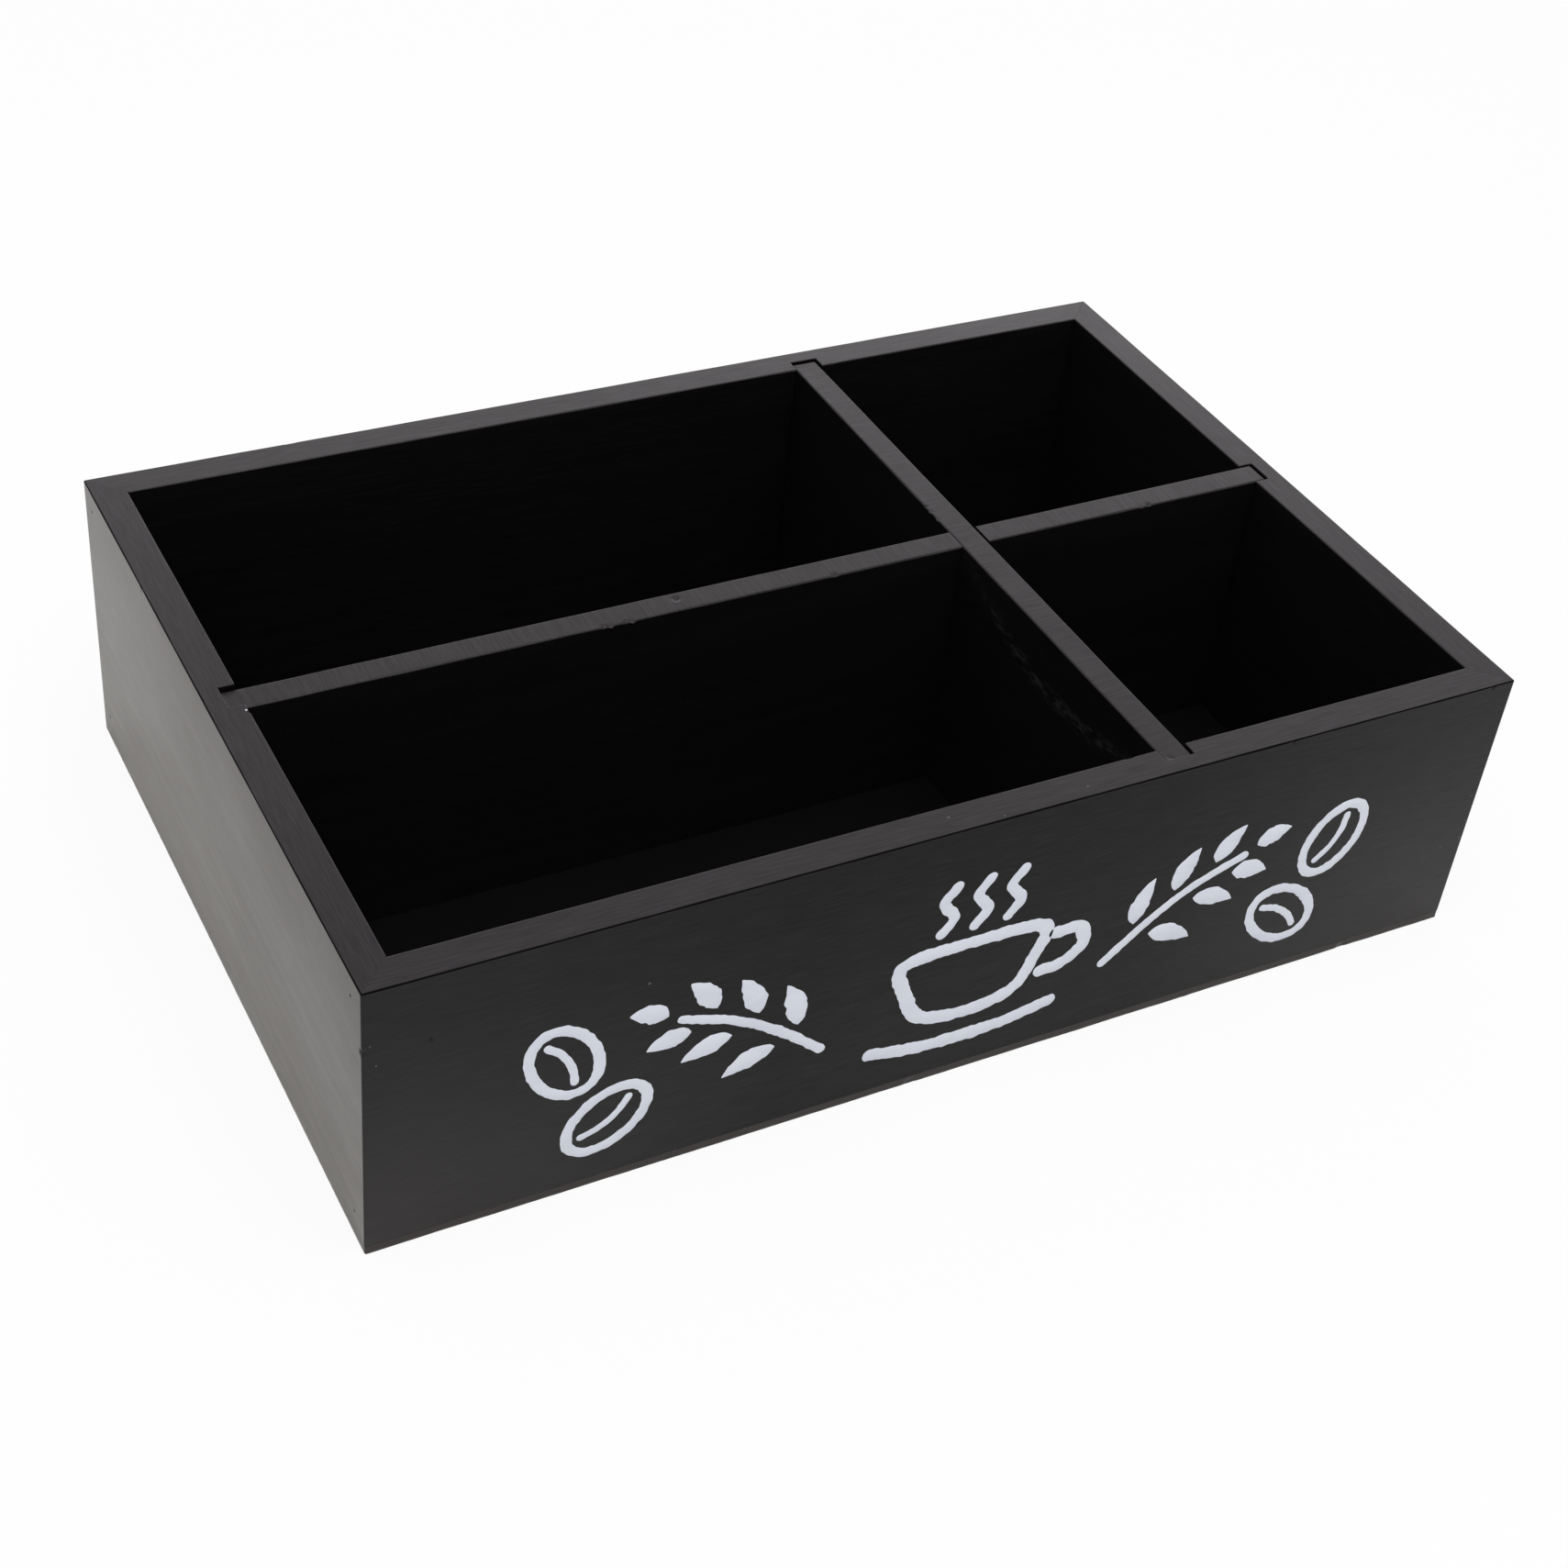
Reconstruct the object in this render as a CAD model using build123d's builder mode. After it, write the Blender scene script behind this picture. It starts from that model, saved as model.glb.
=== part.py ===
from build123d import *
import os

# Coffee station organizer: an open tray of four mitred boards on a thin bottom panel,
# with two lapped dividers that lift out of slots in the boards.
# Origin: middle of the tray's underside. +X is right, the front faces -Y, +Z is up.
# All lengths are in millimetres.

# The tray over its outer faces
tray_length = 300.0
tray_width = 200.0
tray_height = 79.0

# Stock that the pieces are cut from
board_thickness = 8.8
bottom_thickness = 2.5
divider_thickness = 7.3

# Where the middles of the slots cross, from the middle of the tray
crossing_x = 52.6
crossing_y = 2.6

# Slots in the inner faces of the boards, and the play of the dividers in them
slot_depth = 4.1
side_play = 0.7
end_play = 1.4

# What is left of that play where a divider has slid to one side or one end
side_gap = 0.1
end_gap = 0.2

# Room above the long divider's notch floor and below the short divider's notch roof
lap_play = 0.5

# How far the tops of the dividers lie below the rim
short_divider_drop = 0.4
long_divider_left_drop = 1.2
long_divider_right_drop = 0.1

# Sanded edges
corner_radius = 0.5
rim_radius = 0.4
foot_radius = 0.3
divider_radius = 0.4

# Brads through the side boards into the ends of the front and back boards
brad_width = 1.2
brad_thickness = 1.0
brad_length = 20.0
brad_set = 0.5
brad_cover = 2.6
brad_end_distance = 5.7

# Staples up through the bottom panel into the boards
staple_crown = 6.0
staple_leg = 12.0
staple_wire_width = 1.2
staple_wire_thickness = 0.6
staple_set = 0.2
staple_clearance = 6.0
staple_pitch = 70.0

# Cutters run this far past the faces that they leave
overrun = 1.0

# The tray's corners are square, so each side is turned this much from the one before
corner_angle = 90.0

# Sizes that follow
board_height = tray_height - bottom_thickness
slot_width = divider_thickness + side_play
lap_height = bottom_thickness + (board_height - short_divider_drop) / 2
brad_inset = board_thickness - brad_cover
slot_end_inset = board_thickness - slot_depth
staple_corner_distance = brad_set + brad_length + staple_clearance + staple_crown / 2
staple_slot_distance = slot_width / 2 + staple_clearance + staple_crown / 2


def side_plane(corners, height):
    """Level plane with X along a side and that side at -Y. Corners are passed from the front."""
    return Plane.XY.offset(height).rotated((0, 0, corners * corner_angle))


def crown_plane(corners, depth):
    """Upright plane through the middle of one side's board, X along the side and Y up."""
    level = side_plane(corners, 0)
    middle = Vector(0, board_thickness / 2 - depth / 2, 0)
    return Plane(level.from_local_coords(middle), x_dir=level.x_dir, z_dir=-level.y_dir)


def brad_plane(side, inset):
    """Upright plane some way in from the left or right face, facing out, with Y up."""
    return Plane((side * (tray_length / 2 - inset), 0, 0), x_dir=(0, side, 0), z_dir=(side, 0, 0))


def even_places(start, end):
    """Places from start to end, about one staple pitch apart, both ends included."""
    steps = max(1, round((end - start) / staple_pitch))
    return [start + (end - start) * step / steps for step in range(steps + 1)]


def staple_places(length, slot_at):
    """Where the staples of one side lie along it, clear of its corners and its slot."""
    reach = length / 2 - staple_corner_distance
    before_slot = even_places(-reach, slot_at - staple_slot_distance)
    after_slot = even_places(slot_at + staple_slot_distance, reach)
    return before_slot + after_slot


def staple_outlines(length, slot_at, foot):
    """Draw the staples of one side, or with a foot of zero the pockets that hold them."""
    top = staple_set + staple_leg
    for place in staple_places(length, slot_at):
        with Locations((place, foot)):
            Rectangle(staple_crown, top - foot, align=(Align.CENTER, Align.MIN))
        with Locations((place, staple_set + staple_wire_thickness)):
            Rectangle(
                staple_crown - 2 * staple_wire_thickness,
                top,
                align=(Align.CENTER, Align.MIN),
                mode=Mode.SUBTRACT,
            )


def brad_outlines():
    """Draw the section of each brad of one side face."""
    across = tray_width / 2 - brad_inset
    low = bottom_thickness + brad_end_distance
    high = tray_height - brad_end_distance
    with Locations((-across, low), (across, low), (-across, high), (across, high)):
        Rectangle(brad_thickness, brad_width)


def cut_staple_pockets(corners, length, depth, slot_at):
    """Cut the staple pockets of one side out of the piece that is being made."""
    with BuildSketch(crown_plane(corners, depth)) as pockets:
        staple_outlines(length, slot_at, 0)
    extrude(pockets.sketch, amount=staple_wire_width / 2, both=True, mode=Mode.SUBTRACT)


def cut_brad_holes():
    """Cut every brad's hole, open at the tray's side, out of the piece that is being made."""
    for side in (-1, 1):
        with BuildSketch(brad_plane(side, 0)) as holes:
            brad_outlines()
        extrude(holes.sketch, amount=-(brad_set + brad_length), mode=Mode.SUBTRACT)


def side_board(corners, label, length, depth, slot_at):
    """One mitred board of the tray, with the slot for the divider that ends in it."""
    outer_face = -depth / 2
    inner_face = outer_face + board_thickness
    outer_end = length / 2
    inner_end = outer_end - board_thickness
    with BuildPart() as board:
        with BuildSketch(side_plane(corners, bottom_thickness)):
            RectangleRounded(length, depth, corner_radius)
            with BuildLine():
                Polyline(
                    (-outer_end, outer_face),
                    (outer_end, outer_face),
                    (inner_end, inner_face),
                    (-inner_end, inner_face),
                    close=True,
                )
            make_face(mode=Mode.INTERSECT)
            with Locations((slot_at, inner_face - slot_depth)):
                Rectangle(
                    slot_width,
                    slot_depth + overrun,
                    align=(Align.CENTER, Align.MIN),
                    mode=Mode.SUBTRACT,
                )
        extrude(amount=board_height)
        rim = board.faces().sort_by(Axis.Z)[-1]
        run = Axis((0, 0, 0), side_plane(corners, 0).x_dir)
        arrises = rim.edges().filter_by(run)
        fillet(arrises.filter_by(lambda edge: edge.length > slot_width + overrun), rim_radius)
        cut_brad_holes()
        cut_staple_pockets(corners, length, depth, slot_at)
    board.part.label = label
    return board


# The four sides in turn: the name of the board, its length, the tray's depth across it,
# and where its slot lies along it
sides = [
    ("front_board", tray_length, tray_width, crossing_x),
    ("right_board", tray_width, tray_length, crossing_y),
    ("back_board", tray_length, tray_width, -crossing_x),
    ("left_board", tray_width, tray_length, -crossing_y),
]
boards = [side_board(corners, *side) for corners, side in enumerate(sides)]

# The bottom panel, a thin sheet under the boards, flush with their outer faces
with BuildPart() as bottom_panel:
    with BuildSketch():
        RectangleRounded(tray_length, tray_width, corner_radius)
    extrude(amount=bottom_thickness)
    fillet(bottom_panel.faces().sort_by(Axis.Z)[0].edges(), foot_radius)
    for corners, (_, length, depth, slot_at) in enumerate(sides):
        cut_staple_pockets(corners, length, depth, slot_at)
bottom_panel.part.label = "bottom_panel"

# The long divider stands between the left and right boards, notched from above.
# Its top falls towards the left, and it has slid to the front side and the left end of its slots.
long_front_face = crossing_y - slot_width / 2 + side_gap
long_left_end = slot_end_inset + end_gap - tray_length / 2
long_right_end = long_left_end + tray_length - 2 * slot_end_inset - end_play
long_middle = Plane.XZ.offset(-(long_front_face + divider_thickness / 2))
with BuildPart() as long_divider:
    with BuildSketch(long_middle):
        with BuildLine():
            Polyline(
                (long_left_end, bottom_thickness),
                (long_right_end, bottom_thickness),
                (long_right_end, tray_height - long_divider_right_drop),
                (long_left_end, tray_height - long_divider_left_drop),
                close=True,
            )
        make_face()
    extrude(amount=divider_thickness / 2, both=True)
    long_top = long_divider.faces().filter_by(Axis.Y, reverse=True).sort_by(Axis.Z)[-1]
    fillet(long_top.edges().filter_by(Axis.Y, reverse=True), divider_radius)
    with BuildSketch(long_middle):
        with Locations((crossing_x, lap_height - lap_play / 2)):
            Rectangle(slot_width, tray_height, align=(Align.CENTER, Align.MIN))
    extrude(amount=divider_thickness, both=True, mode=Mode.SUBTRACT)
long_divider.part.label = "long_divider"

# The short divider stands between the front and back boards, notched from below.
# It has slid to the left side and the front end of its slots.
short_front_end = slot_end_inset + end_gap - tray_width / 2
short_left_face = crossing_x - slot_width / 2 + side_gap
with BuildPart() as short_divider:
    with BuildSketch(Plane.YZ.offset(short_left_face + divider_thickness / 2)):
        with Locations((short_front_end, bottom_thickness)):
            Rectangle(
                tray_width - 2 * slot_end_inset - end_play,
                board_height - short_divider_drop,
                align=(Align.MIN, Align.MIN),
            )
        with Locations((crossing_y, 0)):
            Rectangle(
                slot_width,
                lap_height + lap_play / 2,
                align=(Align.CENTER, Align.MIN),
                mode=Mode.SUBTRACT,
            )
    extrude(amount=divider_thickness / 2, both=True)
    short_top = short_divider.faces().sort_by(Axis.Z)[-1]
    fillet(short_top.edges().filter_by(Axis.Y), divider_radius)
short_divider.part.label = "short_divider"

# Brads, two at each corner, driven in from the left and right faces and set below them
with BuildPart() as corner_brads:
    for side in (-1, 1):
        with BuildSketch(brad_plane(side, brad_set)):
            brad_outlines()
        extrude(amount=-brad_length)
corner_brads.part.label = "corner_brads"

# Staples, driven up through the bottom panel along the middle of each board
with BuildPart() as bottom_staples:
    for corners, (_, length, depth, slot_at) in enumerate(sides):
        with BuildSketch(crown_plane(corners, depth)):
            staple_outlines(length, slot_at, staple_set)
        extrude(amount=staple_wire_width / 2, both=True)
bottom_staples.part.label = "bottom_staples"

os.makedirs("parts", exist_ok=True)
for piece in (*boards, bottom_panel, long_divider, short_divider, corner_brads, bottom_staples):
    export_step(piece.part, f"parts/{piece.part.label}.step")
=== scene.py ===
import math

import bmesh
import bpy
from mathutils import Matrix, Vector, noise


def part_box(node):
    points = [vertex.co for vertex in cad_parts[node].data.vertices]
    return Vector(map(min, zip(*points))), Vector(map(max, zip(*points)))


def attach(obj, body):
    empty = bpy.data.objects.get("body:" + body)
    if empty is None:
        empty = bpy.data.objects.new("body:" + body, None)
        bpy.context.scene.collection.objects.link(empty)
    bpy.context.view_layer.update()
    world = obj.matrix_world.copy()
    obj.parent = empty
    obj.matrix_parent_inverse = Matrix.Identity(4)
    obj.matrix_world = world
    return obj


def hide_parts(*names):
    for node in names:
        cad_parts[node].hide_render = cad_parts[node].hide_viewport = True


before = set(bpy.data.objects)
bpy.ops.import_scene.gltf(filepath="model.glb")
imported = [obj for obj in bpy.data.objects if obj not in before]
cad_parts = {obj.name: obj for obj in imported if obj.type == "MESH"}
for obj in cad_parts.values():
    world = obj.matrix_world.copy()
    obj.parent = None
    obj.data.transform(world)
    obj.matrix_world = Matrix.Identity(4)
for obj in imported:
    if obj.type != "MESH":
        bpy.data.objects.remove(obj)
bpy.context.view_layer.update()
mm = 0.001

# Camera: it stands to the front left of the tray and looks down on it, a little turned about
# its own line of sight. Its place and lens were worked out from the tray's corners.
camera_place = Vector((-276.6, -457.3, 445.0)) * mm
camera_heading = math.radians(-31.56)
camera_dip = math.radians(38.911)
camera_roll = math.radians(6.757)


def put_in_scene(name, data):
    """A new object in the scene with this data."""
    thing = bpy.data.objects.new(name, data)
    bpy.context.scene.collection.objects.link(thing)
    return thing


camera_data = bpy.data.cameras.new("camera")
camera_data.sensor_width = 36
camera_data.lens = 59.49
camera_data.clip_start = 0.01
camera = put_in_scene("camera", camera_data)
camera.matrix_world = (
    Matrix.Translation(camera_place)
    @ Matrix.Rotation(camera_heading, 4, "Z")
    @ Matrix.Rotation(math.pi / 2 - camera_dip, 4, "X")
    @ Matrix.Rotation(camera_roll, 4, "Z")
)
bpy.context.scene.camera = camera

# Front and back boards: strips of solid wood about 9 mm thick, mitred at both ends, with a slot
# sawn in the inner face of each for the short divider. Their arrises are sanded by hand, so the
# rounding wanders, and they are painted satin black with a brush along their length.
panel_low, panel_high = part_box("bottom_panel")
front_low, front_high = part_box("front_board")
short_low, short_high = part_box("short_divider")
long_low, long_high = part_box("long_divider")
half_length = panel_high.x
half_width = panel_high.y
board_thickness = front_high.y - front_low.y
corner_radius = 0.5 * mm
rim_arris = 0.35 * mm
mouth_arris = 0.2 * mm
mouth_chamfer = 0.25 * mm
foot_arris = 0.12 * mm
tight_mitre = 0.02 * mm
open_mitre = 0.06 * mm
full_mark_arris = 0.2 * mm

# The dividers lie against one side and one end of their slots, and leave the rest of the play
snug_gap = 0.1 * mm
free_gap = 0.6 * mm
end_gap = 0.2 * mm
slot_left = short_low.x - snug_gap
slot_right = short_high.x + free_gap
slot_front = long_low.y - snug_gap
slot_back = long_high.y + free_gap
slot_floor = half_width + short_low.y - end_gap


class Side:
    """One side of an outline: where it starts, its arrises at the low and high face, and
    whether it is part of a rounded corner."""

    def __init__(self, across, up, low_arris, high_arris, rounded=False):
        self.start = Vector((across, up))
        self.arrises = (low_arris, high_arris)
        self.rounded = rounded


def bend(centre, radius, first, last, low_arris, high_arris):
    """The sides of a rounded corner, from one angle to the next in degrees."""
    steps = 5
    sides = []
    for step in range(steps + 1):
        angle = math.radians(first + (last - first) * step / steps)
        across = centre[0] + radius * math.cos(angle)
        up = centre[1] + radius * math.sin(angle)
        sides.append(Side(across, up, low_arris, high_arris, rounded=step < steps))
    return sides


def mark(place, push, reach, bare=0):
    """A nib or a chip, in millimetres: where it is, how it moves the surface there, how far it
    reaches and how much bare wood shows in it."""
    return Vector(place) * mm, Vector(push) * mm, reach * mm, bare


def spaced(start, end, marks, coarse):
    """Distances along a side, close together near a mark and further apart elsewhere, and clear
    of both corners, so that no arris reaches past the next point."""
    fine = 0.25 * mm
    near = 2.5 * mm
    clear = 0.65 * mm
    length = (end - start).length
    distance = clear
    found = [0]
    while distance < length - clear:
        found.append(distance)
        place = start.lerp(end, distance / length)
        marked = any((spot[0].xy - place).length < near for spot in marks)
        distance += fine if marked else coarse
    return found


def heights(low, high, marks):
    """Heights of the rows between the two faces: a few on the way, and more by each mark."""
    steps = (0, 0.3 * mm, 0.7 * mm, 1.2 * mm, 2 * mm, 3 * mm)
    edge = 0.8 * mm
    least = 0.1 * mm
    rows = [low + edge, high - edge]
    for spot in marks:
        rows += [spot[0].z + side * step for step in steps for side in (-1, 1)]
    rows = sorted(row for row in rows if low + edge <= row <= high - edge)
    kept = rows[:1]
    for row in rows[1:]:
        if row - kept[-1] > least:
            kept.append(row)
    return kept


def drawn_in(one, two, by_one, by_two):
    """How a corner moves when the sides before and after it, with these normals, are drawn in."""
    nearly_straight = 0.03
    cross = one.cross(two)
    if abs(cross) < nearly_straight:
        return (one + two) * ((by_one + by_two) / 4)
    across = (by_one * two.y - by_two * one.y) / cross
    up = (by_two * one.x - by_one * two.x) / cross
    return Vector((across, up))


def arrises_of(before, after, run_in, run_out):
    """The arrises of the two sides that meet at a corner. Where a rounded corner meets a mitre,
    the mitre's own arris runs out."""
    steep = 0.5
    at_mitre = before.rounded != after.rounded and abs(run_in.cross(run_out)) > steep
    closed = (0, 0)
    by_before = closed if at_mitre and after.rounded else before.arrises
    by_after = closed if at_mitre and before.rounded else after.arrises
    return by_before, by_after


def skin_over(faces, start, rings, corners, closed=False):
    """Add the faces over rings of vertices that follow each other: round to the first ring again
    if closed, or else with an end face at both ends."""
    for ring in range(rings if closed else rings - 1):
        here = start + ring * corners
        there = start + (ring + 1) % rings * corners
        for corner in range(corners):
            following = (corner + 1) % corners
            faces.append((here + corner, here + following, there + following, there + corner))
    if not closed:
        last = start + (rings - 1) * corners
        faces.append(tuple(reversed(range(start, start + corners))))
        faces.append(tuple(range(last, last + corners)))


def sanded_solid(name, sides, low, high, stand, marks=(), coarse=1.5 * mm, wander=0.3):
    """A closed solid with the given outline between two heights, turned into its place by the
    matrix stand. Its arrises are rounded and a little uneven, and its marks stay clear of the
    end faces. An attribute is 1 along the middle of each arris wide enough; the paint uses it
    for a line that is partly wear and partly painted highlight, and for a line of painted shade."""
    wander_length = 14 * mm
    arris_steps = 5
    mark_reaches = 3
    points = []
    for index, side in enumerate(sides):
        before = sides[index - 1]
        after = sides[(index + 1) % len(sides)]
        run_in = (side.start - before.start).normalized()
        run_out = (after.start - side.start).normalized()
        corner = arrises_of(before, side, run_in, run_out)
        for distance in spaced(side.start, after.start, marks, coarse):
            place = side.start + run_out * distance
            if distance == 0:
                points.append((place, run_in, run_out, corner, side.rounded))
            else:
                points.append((place, run_out, run_out, (side.arrises, side.arrises), side.rounded))

    turns = [math.pi / 2 * step / arris_steps for step in range(arris_steps + 1)]
    rows = [(0, turn, low) for turn in reversed(turns)]
    rows += [(None, 0, height) for height in heights(low, high, marks)]
    rows += [(1, turn, high) for turn in turns]

    vertices = []
    arris_wear_and_light = []
    chipped = []
    for face, turn, height in rows:
        for place, run_in, run_out, arrises, _ in points:
            spot = Vector((place.x, place.y, height))
            wear_and_light_share = 0
            if face is not None:
                uneven = 1 + wander * noise.noise(spot / wander_length)
                by_one = arrises[0][face] * uneven
                by_two = arrises[1][face] * uneven
                inward_in = Vector((-run_in.y, run_in.x))
                inward_out = Vector((-run_out.y, run_out.x))
                inset = 1 - math.cos(turn)
                spot.xy += drawn_in(inward_in, inward_out, by_one * inset, by_two * inset)
                drop = (by_one + by_two) / 2 * (1 - math.sin(turn))
                spot.z += drop if face == 0 else -drop
                wear_and_light_share = math.sin(2 * turn) * min(1, min(by_one, by_two) / full_mark_arris)
            on_face = face is not None and turn == turns[-1]
            chip = 0
            for centre, push, reach, bare in marks:
                away = (spot - centre).length / reach
                if away < mark_reaches and not on_face:
                    near = math.exp(-away * away)
                    spot += push * near
                    chip = max(chip, bare * near)
            vertices.append(stand @ spot)
            arris_wear_and_light.append(wear_and_light_share)
            chipped.append(chip)

    faces = []
    skin_over(faces, 0, len(rows), len(points))
    smooth = []
    for lower, upper in zip(rows, rows[1:]):
        on_arris = lower[0] is not None and lower[0] == upper[0]
        smooth += [on_arris or point[-1] for point in points]
    smooth += [False, False]

    mesh = bpy.data.meshes.new(name)
    mesh.from_pydata(vertices, [], faces)
    mesh.polygons.foreach_set("use_smooth", smooth)
    for attribute, values in (("arris_wear_and_light", arris_wear_and_light), ("chipped", chipped)):
        mesh.attributes.new(attribute, "FLOAT", "POINT").data.foreach_set("value", values)
    if stand.determinant() < 0:
        mesh.flip_normals()
    return put_in_scene(name, mesh)


def board_outline(half_run, half_depth, slot_start, slot_end, mitres):
    """The plan of one board in its own frame: its run along X and its outer face towards -Y.
    The mitres are the arrises at its left and right end."""
    outer = -half_depth
    inner = outer + board_thickness
    bottom = outer + slot_floor
    bend_right = (half_run - corner_radius, outer + corner_radius)
    bend_left = (-bend_right[0], bend_right[1])
    right = bend(bend_right, corner_radius, -90, -45, foot_arris, rim_arris)
    left = bend(bend_left, corner_radius, -135, -90, foot_arris, rim_arris)
    right[-1] = Side(*right[-1].start, foot_arris, mitres[1])
    return [
        *right,
        Side(half_run - board_thickness, inner, foot_arris, rim_arris),
        Side(slot_end + mouth_chamfer, inner, foot_arris, rim_arris),
        Side(slot_end, inner - mouth_chamfer, foot_arris, mouth_arris),
        Side(slot_end, bottom, foot_arris, mouth_arris),
        Side(slot_start, bottom, foot_arris, mouth_arris),
        Side(slot_start, inner - mouth_chamfer, foot_arris, rim_arris),
        Side(slot_start - mouth_chamfer, inner, foot_arris, rim_arris),
        Side(board_thickness - half_run, inner, foot_arris, mitres[0]),
        *left,
    ]


def fill(tree, node, values):
    """Fill inputs of a node, each with a plain value or the output of another node."""
    for socket, value in values.items():
        if isinstance(value, bpy.types.NodeSocket):
            tree.links.new(value, node.inputs[socket])
        else:
            node.inputs[socket].default_value = value
    return node


def streaks(tree, run, pitch, stretch, detail):
    """Noise that is drawn out along one axis, as wood grain and brush lines are."""
    place = tree.nodes.new("ShaderNodeTexCoord").outputs["Object"]
    scale = [1 / (pitch * (stretch if axis == run else 1)) for axis in range(3)]
    drawn = fill(tree, tree.nodes.new("ShaderNodeMapping"), {"Vector": place, "Scale": scale})
    settings = {"Vector": drawn.outputs["Vector"], "Scale": 1, "Detail": detail}
    return fill(tree, tree.nodes.new("ShaderNodeTexNoise"), settings).outputs["Fac"]


def between(tree, value, low, high, to_low, to_high):
    """Take a value from one range to another, cut off at both ends."""
    limits = {"From Min": low, "From Max": high, "To Min": to_low, "To Max": to_high}
    ranged = fill(tree, tree.nodes.new("ShaderNodeMapRange"), {"Value": value, **limits})
    return ranged.outputs["Result"]


def blended(tree, share, one, two):
    """Mix two colours, each a colour or the output of a node."""
    mix = tree.nodes.new("ShaderNodeMix")
    mix.data_type = "RGBA"
    colours = [(*colour, 1) if isinstance(colour, tuple) else colour for colour in (one, two)]
    return fill(tree, mix, {0: share, 6: colours[0], 7: colours[1]}).outputs[2]


def raised(tree, height, depth, under=None):
    """Relief of a given depth in metres, over any relief that lies under it."""
    relief = {"Strength": 1, "Distance": depth, "Height": height}
    if under is not None:
        relief["Normal"] = under
    return fill(tree, tree.nodes.new("ShaderNodeBump"), relief).outputs["Normal"]


def reckoned(tree, operation, *values):
    """A step of arithmetic on outputs and numbers."""
    step = fill(tree, tree.nodes.new("ShaderNodeMath"), dict(enumerate(values)))
    step.operation = operation
    return step.outputs[0]


def multiplied(tree, one, two):
    """The product of two outputs."""
    return reckoned(tree, "MULTIPLY", one, two)


def reading_along(tree, reading, axis):
    """A reading at each point of the surface along one axis: its place or its face's direction."""
    whole = tree.nodes.new("ShaderNodeTexCoord").outputs[reading]
    return fill(tree, tree.nodes.new("ShaderNodeSeparateXYZ"), {"Vector": whole}).outputs[axis]


def place_along(tree, axis):
    """How far along an axis of the tray a point lies, in metres."""
    return reading_along(tree, "Object", axis)


def from_middle(tree, axis):
    """How far from the middle of the tray a point lies along an axis, in metres."""
    return reckoned(tree, "ABSOLUTE", place_along(tree, axis))


def facing_up(tree):
    """1 on faces that look straight up, and 0 on the walls."""
    sloping = 0.6
    level = 0.95
    return between(tree, reading_along(tree, "Normal", 2), sloping, level, 0, 1)


def attribute_of(tree, name):
    """One of the attributes that a sanded solid carries."""
    attribute = tree.nodes.new("ShaderNodeAttribute")
    attribute.attribute_name = name
    return attribute.outputs["Fac"]


def laid_over(tree, share, colour):
    """Lay a colour over the material's own where the share is high."""
    base = tree.nodes["Principled BSDF"].inputs["Base Color"]
    own = base.links[0].from_socket
    tree.links.new(blended(tree, share, own, colour), base)


def scaled(tree, socket, factor):
    """Multiply one of the material's own values by a factor."""
    target = tree.nodes["Principled BSDF"].inputs[socket]
    own = target.links[0].from_socket
    tree.links.new(multiplied(tree, own, factor), target)


def new_finish(name):
    """A new material, with its node tree and its shader."""
    material = bpy.data.materials.new(name)
    material.use_nodes = True
    tree = material.node_tree
    return material, tree, tree.nodes["Principled BSDF"]


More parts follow.
